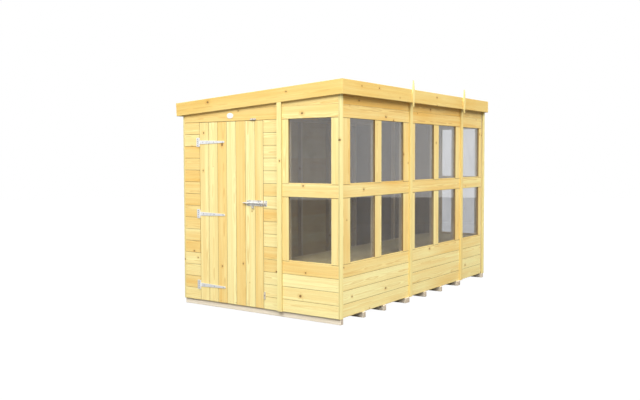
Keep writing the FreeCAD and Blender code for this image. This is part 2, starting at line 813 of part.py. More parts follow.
straps = []
flaps = []
pins = []
door_screws = []
frame_screws = []
for level in HINGES:
    holes = [screw_hole(x, level, "strap_thickness") for x in strap_screws]
    straps.append(joined([
        extrude(strap_outline, -Y, "strap_thickness", HINGE_X, "0", level),
        rod(f"{HINGE_X} + strap_length - strap_tip / 2", "0", level, "strap_tip / 2", "strap_thickness",
            "out"),
        knuckle(f"{level} - strap_root / 2", "strap_root"),
    ], [pin_bore(level), *holes]))
    door_screws += [screw(x, level, "strap_thickness") for x in strap_screws]
    lug = f"(flap_height / 2 - {flap_reach})"
    parts = [box(f"{HINGE_X} - flap_width", "-strap_thickness", f"{level} - flap_height / 2",
                 "flap_width - flap_notch", "strap_thickness", "flap_height")]
    for foot in (f"{level} - flap_height / 2", f"{level} + {flap_reach}"):
        parts.append(box(f"{HINGE_X} - flap_notch", "-strap_thickness", foot, "flap_notch",
                         "strap_thickness", lug))
        parts.append(knuckle(foot, lug))
    places = [f"{level} + {offset}" for offset in flap_screws]
    holes = [screw_hole(flap_screw_x, z, "strap_thickness") for z in places]
    flaps.append(joined(parts, [pin_bore(level), *holes]))
    frame_screws += [screw(flap_screw_x, z, "strap_thickness") for z in places]
    pin_head = f"{level} + flap_height / 2"
    pins.append(joined([
        rod(HINGE_X, "-hinge_standoff", f"{level} - flap_height / 2", "pin_radius", "flap_height", "z"),
        rod(HINGE_X, "-hinge_standoff", pin_head, "knuckle_radius", "screw_head_height", "z"),
    ]))
door_group("hinge_straps", straps)
door_group("hinge_flaps", flaps)
door_group("hinge_pins", pins)

# Sliding bolt, drawn back: the plate and bar ride on the door, the keep is on the frame

plate_right = "(door_width - door_gap - bolt_edge)"
plate_left = f"({plate_right} - bolt_plate_length)"
guide_face = "(bolt_standoff + bolt_radius + bolt_clearance + guide_wall)"
guide_height = "(2 * (bolt_radius + bolt_clearance + guide_wall))"


def guide(x, width):
    return box(x, f"-{guide_face}", f"bolt_level - {guide_height} / 2", width, guide_face, guide_height)


def bolt_bore(x, length):
    return rod(x, "-bolt_standoff", "bolt_level", "bolt_radius + bolt_clearance", length, "x")


def bolt_base(x, length):
    return box(x, "-bolt_plate_thickness", "bolt_level - bolt_plate_height / 2", length,
               "bolt_plate_thickness", "bolt_plate_height")


corner = "(bolt_plate_height / 2 - 2 * screw_head_radius + screw_radius)"
plate_screws = [(x, f"bolt_level + {sign} * {corner}")
                for x in (f"{plate_left} + 2 * guide_width", f"{plate_right} - 2 * guide_width")
                for sign in (-1, 1)]
door_group("bolt_plate", [joined(
    [bolt_base(plate_left, "bolt_plate_length"), guide(plate_left, "guide_width"),
     guide(f"{plate_right} - guide_width", "guide_width")],
    [bolt_bore(f"{plate_left} - guide_width", "bolt_plate_length + 2 * guide_width"),
     *[screw_hole(x, z, "bolt_plate_thickness") for x, z in plate_screws]])])
door_screws += [screw(x, z, "bolt_plate_thickness") for x, z in plate_screws]

bar_right = f"({plate_right} + bolt_edge / 2)"
bar_left = f"({plate_left} - bolt_travel)"
handle_x = f"({plate_left} + bolt_plate_length / 2 - bolt_travel / 2)"
door_group("bolt_bar", [joined(
    [rod(bar_left, "-bolt_standoff", "bolt_level", "bolt_radius", f"{bar_right} - {bar_left}", "x"),
     box(f"{handle_x} - handle_width / 2", "-bolt_standoff - handle_thickness / 2",
         "bolt_level - handle_drop", "handle_width", "handle_thickness", "handle_drop")],
    [rod(handle_x, "-bolt_standoff + handle_thickness", "bolt_level - handle_drop + handle_width / 2",
         "padlock_hole_radius", "2 * handle_thickness", "out")])])

keep_left = "(door_width + keep_inset)"
keep_guide = f"({keep_left} + keep_inset)"
keep_screws = [(f"{keep_guide} + guide_width + 2 * screw_head_radius", f"bolt_level + {sign} * {corner}")
               for sign in (-1, 1)]
door_group("bolt_keep", [joined(
    [bolt_base(keep_left, "keep_length"), guide(keep_guide, "guide_width")],
    [bolt_bore(keep_left, "keep_length"),
     *[screw_hole(x, z, "bolt_plate_thickness") for x, z in keep_screws]])])
frame_screws += [screw(x, z, "bolt_plate_thickness") for x, z in keep_screws]

# Turn buttons, turned clear of the door, each on its own screw

def turn_button(x, z, upright_rest):
    reach = "(button_length / 2 - button_width / 2)"
    face = "-button_gap"
    ends = [(x, f"{z} - {reach}"), (x, f"{z} + {reach}")]
    bar = (f"{x} - button_width / 2", f"{z} - {reach}", "button_width", f"2 * {reach}")
    if not upright_rest:
        ends = [(f"{x} - {reach}", z), (f"{x} + {reach}", z)]
        bar = (f"{x} - {reach}", f"{z} - button_width / 2", f"2 * {reach}", "button_width")
    left, foot, width, height = bar
    parts = [box(left, f"{face} - button_thickness", foot, width, "button_thickness", height)]
    parts += [rod(a, face, b, "button_width / 2", "button_thickness", "out") for a, b in ends]
    hole = rod(x, "0", z, "screw_radius + screw_clearance", "button_thickness + 2 * button_gap", "out")
    return joined(parts, [hole])


top_button = ("(door_width - button_inset)", f"({HEAD_ROW} * board_cover + button_width / 2 + door_gap)")
side_button = ("(door_width + button_width / 2 + door_gap)", "button_level")
door_group("turn_button_top", [turn_button(*top_button, False)])
door_group("turn_button_side", [turn_button(*side_button, True)])
frame_screws += [screw(x, z, "button_thickness + 2 * button_gap") for x, z in (top_button, side_button)]

# Plain oval plaque on the board above the door

plaque_level = f"({HEAD_ROW} * board_cover + plaque_rise)"
oval = turned(doc.addObject("Part::Ellipse", "oval"), "out")
bind(oval, "MajorRadius", "plaque_width / 2")
bind(oval, "MinorRadius", "plaque_height / 2")
door_group("plaque", [extrude(oval, -Y, "plaque_thickness", "plaque_inset", "0", plaque_level)])
frame_screws += [head(f"plaque_inset + {side} * plaque_width / 3", "-plaque_thickness", plaque_level,
                      "screw_radius", "screw_head_height / 2") for side in (-1, 1)]
door_group("door_screws", door_screws)
door_group("frame_screws", frame_screws)

# Check everything, then write one file for each sub-part

doc.recompute()
for thing in doc.Objects:
    if "Invalid" in thing.State or "Error" in thing.State:
        raise RuntimeError(f"{thing.Label} failed: {thing.State}")
for part in nodes:
    if part.Shape.isNull() or not part.Shape.isValid():
        raise RuntimeError(f"{part.Label} has no valid shape")
os.makedirs("parts", exist_ok=True)
for part in nodes:
    part.Shape.exportStep(f"parts/{part.Label}.step")
print(len(nodes), "sub-parts,", sum(len(part.Shape.Solids) for part in nodes), "solids")
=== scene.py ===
import math
import random

import bmesh
import bpy
from mathutils import Matrix, Vector


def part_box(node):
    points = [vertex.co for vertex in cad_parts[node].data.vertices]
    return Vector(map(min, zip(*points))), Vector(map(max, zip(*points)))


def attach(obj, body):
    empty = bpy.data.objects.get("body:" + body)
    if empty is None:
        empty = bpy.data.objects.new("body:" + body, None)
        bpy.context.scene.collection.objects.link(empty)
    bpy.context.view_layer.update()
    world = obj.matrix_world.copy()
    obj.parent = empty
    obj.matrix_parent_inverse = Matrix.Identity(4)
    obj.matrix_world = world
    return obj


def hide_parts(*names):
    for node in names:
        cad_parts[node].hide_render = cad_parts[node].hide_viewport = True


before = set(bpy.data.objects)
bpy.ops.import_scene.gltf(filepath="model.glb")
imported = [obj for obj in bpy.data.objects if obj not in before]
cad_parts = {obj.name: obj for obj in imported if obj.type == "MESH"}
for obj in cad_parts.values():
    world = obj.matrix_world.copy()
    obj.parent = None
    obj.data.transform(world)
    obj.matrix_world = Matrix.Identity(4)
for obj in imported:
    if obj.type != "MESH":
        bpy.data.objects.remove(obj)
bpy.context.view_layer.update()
print("frame loaded:", len(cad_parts), "nodes")


# small helpers for shader trees

def paint(code):
    # a screen colour such as "f2d58a" as the linear colour that a shader wants
    screen = [int(code[start:start + 2], 16) / 255 for start in (0, 2, 4)]
    linear = [part / 12.92 if part <= 0.04045 else ((part + 0.055) / 1.055) ** 2.4 for part in screen]
    return (*linear, 1.0)


def feed(tree, socket, value):
    if isinstance(value, bpy.types.NodeSocket):
        tree.links.new(value, socket)
    elif value is not None:
        socket.default_value = value


def maths(tree, how, *values, clamp=False):
    node = tree.nodes.new("ShaderNodeMath")
    node.operation = how
    node.use_clamp = clamp
    for socket, value in zip(node.inputs, values):
        feed(tree, socket, value)
    return node.outputs[0]


def distance(tree, first, second):
    squares = [maths(tree, "POWER", maths(tree, "ABSOLUTE", side), 2.0) for side in (first, second)]
    return maths(tree, "SQRT", maths(tree, "ADD", *squares))


def plusShare(tree, base, value, share):
    return maths(tree, "ADD", base, maths(tree, "MULTIPLY", value, share))


def stretched(tree, vector, factors):
    node = tree.nodes.new("ShaderNodeVectorMath")
    node.operation = "MULTIPLY"
    feed(tree, node.inputs[0], vector)
    node.inputs[1].default_value = factors
    return node.outputs[0]


def noiseOn(tree, vector, detail=2.0, roughness=0.5):
    node = tree.nodes.new("ShaderNodeTexNoise")
    feed(tree, node.inputs["Vector"], vector)
    node.inputs["Scale"].default_value = 1.0
    node.inputs["Detail"].default_value = detail
    node.inputs["Roughness"].default_value = roughness
    return node.outputs[0]


def fade(tree, value, start, end, low=0.0, high=1.0):
    node = tree.nodes.new("ShaderNodeMapRange")
    node.interpolation_type = "SMOOTHSTEP"
    for socket, part in zip(node.inputs, (value, start, end, low, high)):
        feed(tree, socket, part)
    return node.outputs[0]


def blendColour(tree, share, first, second, how="MIX"):
    node = tree.nodes.new("ShaderNodeMix")
    node.data_type = "RGBA"
    node.blend_type = how
    feed(tree, node.inputs[0], share)
    feed(tree, node.inputs[6], first)
    feed(tree, node.inputs[7], second)
    return node.outputs[2]


def splitUp(tree, vector):
    node = tree.nodes.new("ShaderNodeSeparateXYZ")
    feed(tree, node.inputs[0], vector)
    return node.outputs


def newGroup(name, inputs, outputs):
    tree = bpy.data.node_groups.new(name, "ShaderNodeTree")
    for label, kind in inputs:
        tree.interface.new_socket(name=label, in_out="INPUT", socket_type="NodeSocket" + kind)
    for label, kind in outputs:
        tree.interface.new_socket(name=label, in_out="OUTPUT", socket_type="NodeSocket" + kind)
    return tree, tree.nodes.new("NodeGroupInput").outputs, tree.nodes.new("NodeGroupOutput").inputs


def placeGroup(tree, group, **values):
    node = tree.nodes.new("ShaderNodeGroup")
    node.node_tree = group
    for label, value in values.items():
        feed(tree, node.inputs[label], value)
    return node


def setLook(tree, node, look):
    # inputs that a look names, with colours as screen codes
    for socket in node.inputs:
        value = look.get(socket.name)
        feed(tree, socket, paint(value) if isinstance(value, str) else value)


def newMaterial(name):
    material = bpy.data.materials.new(name)
    material.use_nodes = True
    return material, material.node_tree, material.node_tree.nodes["Principled BSDF"]


def colourInto(tree, shader, colour, roughness):
    tree.links.new(colour, shader.inputs["Base Color"])
    tree.links.new(roughness, shader.inputs["Roughness"])


def bumpInto(tree, shader, height, strength, depth):
    bump = tree.nodes.new("ShaderNodeBump")
    bump.inputs["Strength"].default_value = strength
    bump.inputs["Distance"].default_value = depth
    feed(tree, bump.inputs["Height"], height)
    tree.links.new(bump.outputs["Normal"], shader.inputs["Normal"])


def objectPlace(tree):
    return tree.nodes.new("ShaderNodeTexCoord").outputs["Object"]


# knots: a dark eye with a darker rim, and a halo that bends the grain round it
# in the looks of materials, three numbers stretch a pattern, and two or four are the ends of a fade

knotEye = {"squeeze": 0.8, "smallest": 0.0005, "uneven": (0.2, 0.8, 0.8, 1.25), "core": (1.1, 0.8),
           "rimInside": (0.6, 0.95), "rimOutside": (1.35, 1.0), "halo": (4.5, 0.4)}


def makeKnotGroup():
    tree, given, out = newGroup("knot eye",
                                [("Along", "Float"), ("Across", "Float"), ("Radius", "Float"),
                                 ("There", "Float"), ("Wobble", "Float")],
                                [("Core", "Float"), ("Rim", "Float"), ("Halo", "Float"), ("Far", "Float")])
    there = given["There"]
    far = distance(tree, maths(tree, "MULTIPLY", given["Along"], knotEye["squeeze"]), given["Across"])
    far = maths(tree, "DIVIDE", far, maths(tree, "MAXIMUM", given["Radius"], knotEye["smallest"]))
    far = maths(tree, "MULTIPLY", far, fade(tree, given["Wobble"], *knotEye["uneven"]))
    core = maths(tree, "MULTIPLY", fade(tree, far, *knotEye["core"]), there)
    inside, outside = (fade(tree, far, *knotEye[label]) for label in ("rimInside", "rimOutside"))
    rim = maths(tree, "MULTIPLY", maths(tree, "MULTIPLY", inside, outside), there)
    halo = maths(tree, "MULTIPLY", fade(tree, far, *knotEye["halo"]), there)
    for label, value in (("Core", core), ("Rim", rim), ("Halo", halo), ("Far", far)):
        tree.links.new(value, out[label])
    return tree


def strongest(tree, nodes, label):
    best = nodes[0].outputs[label]
    for node in nodes[1:]:
        best = maths(tree, "MAXIMUM", best, node.outputs[label])
    return best


# pine: growth rings cut through as a saw would, with fibres, streaks, knots, dark joint grooves, and painted
# shade on cut edges and on the backs of boards

pineGrain = {"wobble": (45, 70, 70), "warp": (1.7, 9, 9), "fibre": (7, 480, 480), "streak": (0.8, 30, 30),
             "cloud": (1.3, 5, 5),
             "cellsAlong": 2.7, "cellsAcross": 8.5, "knotRadius": (0.0, 1.0, 0.002, 0.0065),
             "warpDepth": 0.03, "haloDepth": 0.012, "lateRise": (0.25, 0.9), "lateFall": (1.0, 0.93),
             "lateYearly": (0.0, 1.0, 0.35, 1.0), "fibreShare": (0.35, 0.75, 0.0, 0.22), "haloShare": 0.42,
             "eyeRings": 16.0, "eyeShare": (-1.0, 1.0, 0.75, 1.0), "rimShare": 0.7,
             "jointAndShadeShare": (0.0, 0.45, 0.0, 0.96), "backPale": 0.6, "backGrey": 0.8,
             "roughness": (0.3, 0.75, 0.54, 0.72), "polish": 0.1,
             "ringHeight": 0.35, "fibreHeight": 0.5, "knotHeight": 0.5, "bumpDepth": 0.0008,
             "fibreTint": paint("d2b47c"), "haloTint": paint("dfb270"), "rimTint": paint("4d371c"),
             "jointAndShadeTint": paint("744a16"), "backTint": paint("f0e2a6"), "backShade": paint("a49fb4")}


def makePineGroup(knotGroup):
    tree, given, out = newGroup("pine timber",
                                [("Place", "Vector"), ("Tone", "Vector"), ("Knot", "Vector"),
                                 ("Other Knot", "Vector"), ("Joint And Painted Shade", "Float"), ("Back", "Float"),
                                 ("Pale", "Color"), ("Deep", "Color"), ("Late", "Color"), ("Eye", "Color"),
                                 ("Ring Width", "Float"), ("Ring Share", "Float"), ("Streak", "Float")],
                                [("Colour", "Color"), ("Roughness", "Float"), ("Height", "Float")])
    place = given["Place"]
    along, across, deep = splitUp(tree, place)
    tone, knotty, flame = splitUp(tree, given["Tone"])
    wobble = noiseOn(tree, stretched(tree, place, pineGrain["wobble"]), detail=1)

    # scattered knots, at most one in a stretch of board
    cellsAlong = pineGrain["cellsAlong"]
    cellsAcross = pineGrain["cellsAcross"]
    cells = tree.nodes.new("ShaderNodeCombineXYZ")
    feed(tree, cells.inputs[0], maths(tree, "MULTIPLY", along, cellsAlong))
    feed(tree, cells.inputs[1], maths(tree, "MULTIPLY", across, cellsAcross))
    scatter = tree.nodes.new("ShaderNodeTexVoronoi")
    scatter.voronoi_dimensions = "2D"
    scatter.inputs["Scale"].default_value = 1
    tree.links.new(cells.outputs[0], scatter.inputs["Vector"])
    offset = tree.nodes.new("ShaderNodeVectorMath")
    offset.operation = "SUBTRACT"
    tree.links.new(cells.outputs[0], offset.inputs[0])
    tree.links.new(scatter.outputs["Position"], offset.inputs[1])
    offAlong, offAcross = splitUp(tree, offset.outputs[0])[:2]
    chance, girth = splitUp(tree, scatter.outputs["Color"])[:2]
    eyes = [placeGroup(tree, knotGroup, Along=maths(tree, "DIVIDE", offAlong, cellsAlong),
                       Across=maths(tree, "DIVIDE", offAcross, cellsAcross),
                       Radius=fade(tree, girth, *pineGrain["knotRadius"]),
                       There=maths(tree, "LESS_THAN", chance, knotty), Wobble=wobble)]

    # up to two listed knots on a board
    for label in ("Knot", "Other Knot"):
        spotAlong, spotAcross, spotRadius = splitUp(tree, given[label])
        there = maths(tree, "GREATER_THAN", spotRadius, knotEye["smallest"])
        eyes.append(placeGroup(tree, knotGroup, Along=maths(tree, "SUBTRACT", along, spotAlong),
                               Across=maths(tree, "SUBTRACT", across, spotAcross), Radius=spotRadius,
                               There=there, Wobble=wobble))
    core, rim, halo = (strongest(tree, eyes, label) for label in ("Core", "Rim", "Halo"))

    # growth rings round the heart of the log
    warp = maths(tree, "SUBTRACT", noiseOn(tree, stretched(tree, place, pineGrain["warp"])), 0.5)
    reach = plusShare(tree, distance(tree, across, deep), warp, pineGrain["warpDepth"])
    reach = plusShare(tree, reach, halo, pineGrain["haloDepth"])
    turns = maths(tree, "DIVIDE", reach, given["Ring Width"])
    part = maths(tree, "FRACT", turns)
    yearly = tree.nodes.new("ShaderNodeTexWhiteNoise")
    yearly.noise_dimensions = "1D"
    tree.links.new(maths(tree, "FLOOR", turns), yearly.inputs["W"])
    rise, fall = (fade(tree, part, *pineGrain[label]) for label in ("lateRise", "lateFall"))
    late = maths(tree, "MULTIPLY", rise, fall)
    late = maths(tree, "MULTIPLY", late, fade(tree, yearly.outputs["Value"], *pineGrain["lateYearly"]))

    # fibres, soft streaks along the board and wide cloudy patches
    fibre = noiseOn(tree, stretched(tree, place, pineGrain["fibre"]), detail=3, roughness=0.6)
    streak = noiseOn(tree, stretched(tree, place, pineGrain["streak"]), detail=3, roughness=0.55)
    cloud = noiseOn(tree, stretched(tree, place, pineGrain["cloud"]), detail=1)
    drift = maths(tree, "MULTIPLY", maths(tree, "SUBTRACT", streak, 0.5), given["Streak"])
    drift = plusShare(tree, drift, maths(tree, "SUBTRACT", cloud, 0.5), flame)
    colour = blendColour(tree, maths(tree, "ADD", tone, drift, clamp=True), given["Pale"], given["Deep"])
    lateShare = maths(tree, "MULTIPLY", late, given["Ring Share"])
    colour = blendColour(tree, lateShare, colour, given["Late"], "MULTIPLY")
    fibreShare = fade(tree, fibre, *pineGrain["fibreShare"])
    colour = blendColour(tree, fibreShare, colour, pineGrain["fibreTint"], "MULTIPLY")

    # the knots' halos, eyes and rims
    haloShare = maths(tree, "MULTIPLY", halo, pineGrain["haloShare"])
    colour = blendColour(tree, haloShare, colour, pineGrain["haloTint"], "MULTIPLY")
    eyeRings = maths(tree, "SINE", maths(tree, "MULTIPLY", eyes[1].outputs["Far"], pineGrain["eyeRings"]))
    eyeShare = maths(tree, "MULTIPLY", core, fade(tree, eyeRings, *pineGrain["eyeShare"]))
    colour = blendColour(tree, eyeShare, colour, given["Eye"])
    rimShare = maths(tree, "MULTIPLY", rim, pineGrain["rimShare"])
    colour = blendColour(tree, rimShare, colour, pineGrain["rimTint"])

    # dark joints, painted shade on cut edges and partly on end grain, and painted shade that greys and
    # darkens the backs of the boards for the dim light inside
    groove = fade(tree, given["Joint And Painted Shade"], *pineGrain["jointAndShadeShare"])
    colour = blendColour(tree, groove, colour, pineGrain["jointAndShadeTint"], "MULTIPLY")
    # painted shade: the backs of the boards are greyed and darkened to stand for the dim light inside the
    # shed
    pale = maths(tree, "MULTIPLY", given["Back"], pineGrain["backPale"])
    colour = blendColour(tree, pale, colour, pineGrain["backTint"])
    grey = maths(tree, "MULTIPLY", given["Back"], pineGrain["backGrey"])
    colour = blendColour(tree, grey, colour, pineGrain["backShade"], "MULTIPLY")
    tree.links.new(colour, out["Colour"])

    rough = fade(tree, fibre, *pineGrain["roughness"])
    polish = maths(tree, "MULTIPLY", maths(tree, "MAXIMUM", late, core), pineGrain["polish"])
    tree.links.new(maths(tree, "SUBTRACT", rough, polish), out["Roughness"])
    height = maths(tree, "MULTIPLY", late, pineGrain["ringHeight"])
    height = plusShare(tree, height, fibre, pineGrain["fibreHeight"])
    height = plusShare(tree, height, maths(tree, "SUBTRACT", core, rim), pineGrain["knotHeight"])
    tree.links.new(height, out["Height"])
    return tree


pineGroup = makePineGroup(makeKnotGroup())


def pineMaterial(look):
    material, tree, shader = newMaterial(look["name"])
    grain = placeGroup(tree, pineGroup)
    setLook(tree, grain, look)
    for label, attribute, output in (("Place", "grainPlace", "Vector"), ("Tone", "boardTone", "Vector"),
                                     ("Knot", "knotSpot", "Vector"), ("Other Knot", "otherSpot", "Vector"),
                                     ("Joint And Painted Shade", "jointAndPaintedShade", "Fac"), ("Back", "paintedBackShade", "Fac")):
        read = tree.nodes.new("ShaderNodeAttribute")
        read.attribute_name = attribute
        tree.links.new(read.outputs[output], grain.inputs[label])
    colourInto(tree, shader, grain.outputs["Colour"], grain.outputs["Roughness"])
    shader.inputs["Specular IOR Level"].default_value = look["gloss"]
    bumpInto(tree, shader, grain.outputs["Height"], look["bump"], pineGrain["bumpDepth"])
    return material


cladLook = {"name": "clad pine", "gloss": 0.3, "bump": 0.35,
            "Pale": "faf1b2", "Deep": "eec268", "Late": "d6ae66", "Eye": "7d5c31",
            "Ring Width": 0.0046, "Ring Share": 0.42, "Streak": 0.9}
trimLook = {"name": "trim pine", "gloss": 0.32, "bump": 0.3,
            "Pale": "faf1ae", "Deep": "e6c069", "Late": "d6ae66", "Eye": "7d5c31",
            "Ring Width": 0.0040, "Ring Share": 0.32, "Streak": 0.7}
# frame pine and bench pine are greyer and darker than the cladding: partly their own tone, partly painted
# shade for the dim light inside the shed
frameLook = {"name": "frame pine", "gloss": 0.25, "bump": 0.4,
             "Pale": "d9cdb0", "Deep": "c6b48e", "Late": "cdb990", "Eye": "80603f",
             "Ring Width": 0.0036, "Ring Share": 0.6, "Streak": 0.6}
floorLook = {"name": "floor pine", "gloss": 0.25, "bump": 0.4,
             "Pale": "efdfb6", "Deep": "d9bf8c", "Late": "c6ad84", "Eye": "785838",
             "Ring Width": 0.0042, "Ring Share": 0.6, "Streak": 0.7}
benchLook = {"name": "bench pine", "gloss": 0.2, "bump": 0.4,
             "Pale": "d0c59a", "Deep": "bca976", "Late": "ae9c72", "Eye": "6d5238",
             "Ring Width": 0.0042, "Ring Share": 0.5, "Streak": 0.7}
bearerLook = {"name": "bearer timber", "gloss": 0.15, "bump": 0.8,
              "Pale": "fbf3e3", "Deep": "e6dac3", "Late": "cdb997", "Eye": "6d5238",
              "Ring Width": 0.0040, "Ring Share": 0.6, "Streak": 1.0}
cladPine = pineMaterial(cladLook)
trimPine = pineMaterial(trimLook)
framePine = pineMaterial(frameLook)
floorPine = pineMaterial(floorLook)
benchPine = pineMaterial(benchLook)
bearerTimber = pineMaterial(bearerLook)
print("timber finishes made")


# pieces from the frame's own solids

solidSkin = {"weld": 1e-6, "flat": math.radians(0.5)}


def newObject(name, shape, finish):
    mesh = bpy.data.meshes.new(name)
    shape.to_mesh(mesh)
    shape.free()
    mesh.materials.append(finish)
    made = bpy.data.objects.new(name, mesh)
    bpy.context.scene.collection.objects.link(made)
    return made


def addPiece(name, shape, body, finish, nodes=()):
    piece = newObject(name, shape, finish)
    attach(piece, body)
    if nodes:
        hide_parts(*nodes)


def solidsOf(node):
    # loose triangles come solid by solid, and a solid ends where its skin closes
    whole = bmesh.new()
    whole.from_mesh(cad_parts[node].data)
    solids = []
    first = 0
    openEdges = set()
    for number, face in enumerate(whole.faces):
        corners = [tuple(vert.co) for vert in face.verts]
        for start, end in zip(corners, corners[1:] + corners[:1]):
            if (end, start) in openEdges:
                openEdges.discard((end, start))
            else:
                openEdges.add((start, end))
        if openEdges:
            continue
        solid = whole.copy()
        others = [other for place, other in enumerate(solid.faces) if not first <= place <= number]
        bmesh.ops.delete(solid, geom=others, context="FACES")
        bmesh.ops.remove_doubles(solid, verts=solid.verts, dist=solidSkin["weld"])
        bmesh.ops.dissolve_limit(solid, angle_limit=solidSkin["flat"], verts=solid.verts, edges=solid.edges)
        solids.append(solid)
        first = number + 1
    whole.free()
    return solids


def joinUp(solids):
    joined = bmesh.new()
    for solid in solids:
        passing = bpy.data.meshes.new("passing")
        solid.to_mesh(passing)
        solid.free()
        joined.from_mesh(passing)
        bpy.data.meshes.remove(passing)
    return joined


def easeOff(solid, edges, width, segments=1):
    bmesh.ops.bevel(solid, geom=edges, offset=width, offset_type="OFFSET", segments=segments, profile=0.5,
                    affect="EDGES", material=-1, clamp_overlap=True)


def addHead(heads, size, place):
    # a flat-topped head, half of it sunk in the face that it stands on
    bmesh.ops.create_cone(heads, cap_ends=True, segments=size["sides"], radius1=size["radius"],
                          radius2=size["radius"] * size["taper"], depth=size["proud"] * 2, matrix=place)


# boards: each one is cut from its own place in a log

boardCut = {"logAlong": (0, 40), "logAcross": (-0.05, 0.05), "logDepth": (0.01, 0.06),
            "knotMargin": 0.004, "plainEdges": 20, "onFace": 1e-4,
            "chamfer": (0.001, 0.003), "arris": 0.0003, "back": 0.001,  # depths below a broad face
            "standing": 0.7, "lying": 0.3}  # how far the grain points up
boardNails = {"radius": 0.0019, "taper": 0.7, "proud": 0.0004, "sides": 8,
              "fromEnd": 0.017, "longBoard": 0.9, "fromMiddle": 0.22}
nailSpots = {"shed": [], "door": []}


def boardAxes(board):
    # the grain runs along the longest edge, and the last axis points out of the broadest face
    broad = max(board.faces, key=lambda face: face.calc_area())
    longest = max(board.edges, key=lambda edge: edge.calc_length())
    outward = broad.normal.copy()
    along = longest.verts[1].co - longest.verts[0].co
    along = (along - outward * along.dot(outward)).normalized()
    return along, outward.cross(along), outward


def spans(board, axes):
    return [(min(vert.co.dot(axis) for vert in board.verts), max(vert.co.dot(axis) for vert in board.verts))
            for axis in axes]


def easeEdges(board, axes, reach, width):
    # the arrises that show, and not the tongue and groove inside a joint
    outward = axes[2]
    low, high = reach[2]
    plain = len(board.edges) <= boardCut["plainEdges"]
    shown = []
    for edge in board.edges:
        depth = [vert.co.dot(outward) for vert in edge.verts]
        onFace = max(depth) - low < boardCut["onFace"] or high - min(depth) < boardCut["onFace"]
        if (plain or onFace) and edge.is_convex:
            shown.append(edge)
    easeOff(board, shown, width)


def knotsOn(group, axes, reach, middle, shift):
    # the listed knots that fall on this board, in the board's own grain
    margin = boardCut["knotMargin"]
    knots = []
    for x, y, z, radius in group.get("spots", []):
        point = [Vector((x, y, z)).dot(axis) for axis in axes]
        if all(low - margin < place < high + margin for place, (low, high) in zip(point, reach)):
            knots.append((point[0] - middle[0] + shift[0], point[1] - middle[1] + shift[1], radius))
    return (knots + [(0.0, 0.0, 0.0)] * 2)[:2]


def markNails(board, axes, reach, centre, outward, body):
    # two nails at each end of a board, and two in the middle of a long one
    length = reach[0][1] - reach[0][0]
    width = reach[1][1] - reach[1][0]
    face = max(vert.co.dot(outward) for vert in board.verts)
    steps = [-length / 2 + boardNails["fromEnd"], length / 2 - boardNails["fromEnd"]]
    if length > boardNails["longBoard"]:
        steps.append(0.0)
    for step in steps:
        for side in (-boardNails["fromMiddle"], boardNails["fromMiddle"]):
            at = centre + axes[0] * step + axes[1] * width * side
            nailSpots[body].append((at + outward * (face - at.dot(outward)), outward))


def shadeAt(here, reach, standing, group):
    # how dark a point is: dark joints most of all, then painted shade on the narrow cut edges, and darker end
    # grain that is partly painted shade
    sunk = min(here[2] - reach[2][0], reach[2][1] - here[2])
    fromEnd = min(here[0] - reach[0][0], reach[0][1] - here[0])
    shallow, deep = boardCut["chamfer"]
    shade = 0.0
    if group.get("tongued") and shallow < sunk < deep:
        shade = 1.0
    elif standing and sunk > boardCut["arris"]:
        shade = group.get("paintedEdgeShade", 0.0)
    if fromEnd < boardCut["arris"]:
        shade = max(shade, group.get("endGrainAndShade", 0.0))
    return shade


def timberPiece(node, group):
    chance = random.Random(node + group.get("seed", ""))
    boards = solidsOf(node)
    for board in boards:
        axes = boardAxes(board)
        reach = spans(board, axes)
        middle = [(low + high) / 2 for low, high in reach]
        centre = sum((axis * place for axis, place in zip(axes, middle)), Vector())
        facesOut = axes[2].dot(Vector((centre.x, centre.y, 0))) > 0
        standing = abs(axes[0].z) > boardCut["standing"]
        shift = (chance.uniform(*boardCut["logAlong"]), chance.uniform(*boardCut["logAcross"]),
                 chance.choice((-1, 1)) * chance.uniform(*boardCut["logDepth"]))
        tone = [chance.uniform(*group[share]) for share in ("tone", "knots", "flame")]
        if group.get("setTone"):
            tone[0] = group["setTone"](centre, axes, tone[0])
        knots = knotsOn(group, axes, reach, middle, shift)
        if group.get("nails"):
            markNails(board, axes, reach, centre, axes[2] if facesOut else -axes[2], group["body"])
        easeEdges(board, axes, reach, group["edge"])
        layers = [board.verts.layers.float_vector.new(name)
                  for name in ("grainPlace", "boardTone", "knotSpot", "otherSpot")]
        shadeLayer = board.verts.layers.float.new("jointAndPaintedShade")
        backLayer = board.verts.layers.float.new("paintedBackShade")
        for vert in board.verts:
            here = [vert.co.dot(axis) for axis in axes]
            grain = [place - half + moved for place, half, moved in zip(here, middle, shift)]
            for layer, value in zip(layers, (grain, tone, *knots)):
                vert[layer] = value
            vert[shadeLayer] = shadeAt(here, reach, standing, group)
            # painted shade on the inner faces, for the dim light inside the shed
            inside = here[2] - reach[2][0] if facesOut else reach[2][1] - here[2]
            vert[backLayer] = group.get("paintedInsideShade", 0.0) if inside < boardCut["back"] else 0.0
    addPiece(node + "_wood", joinUp(boards), group["body"], group["finish"], [node])


# walls, in courses of boards that are counted from the foot

courses = {"foot": 0.05, "cover": 0.1145, "besidePanes": 11, "hingeSide": -0.684}
wallFaces = {"doorEnd": -1.557, "glazedSide": 0.916, "frontFascia": -1.575, "sideFascia": 0.97}


def rowTones(rows):
    # tones of the lying boards, from the lowest course up
    def pick(centre, axes, other):
        row = int((centre.z - courses["foot"]) / courses["cover"])
        return rows[row] if abs(axes[0].z) < boardCut["lying"] and row < len(rows) else other
    return pick


def panelTones(below, rail, above):
    # tones of a window panel: under the panes, between the upper and lower ones, and over them
    return rowTones(below + [rail] * courses["besidePanes"] + above)


def doorTones(columns):
    # tones of the door's standing boards, counted from the hinges
    def pick(centre, axes, other):
        return columns[min(len(columns) - 1, int((centre.x - courses["hingeSide"]) / courses["cover"]))]
    return pick


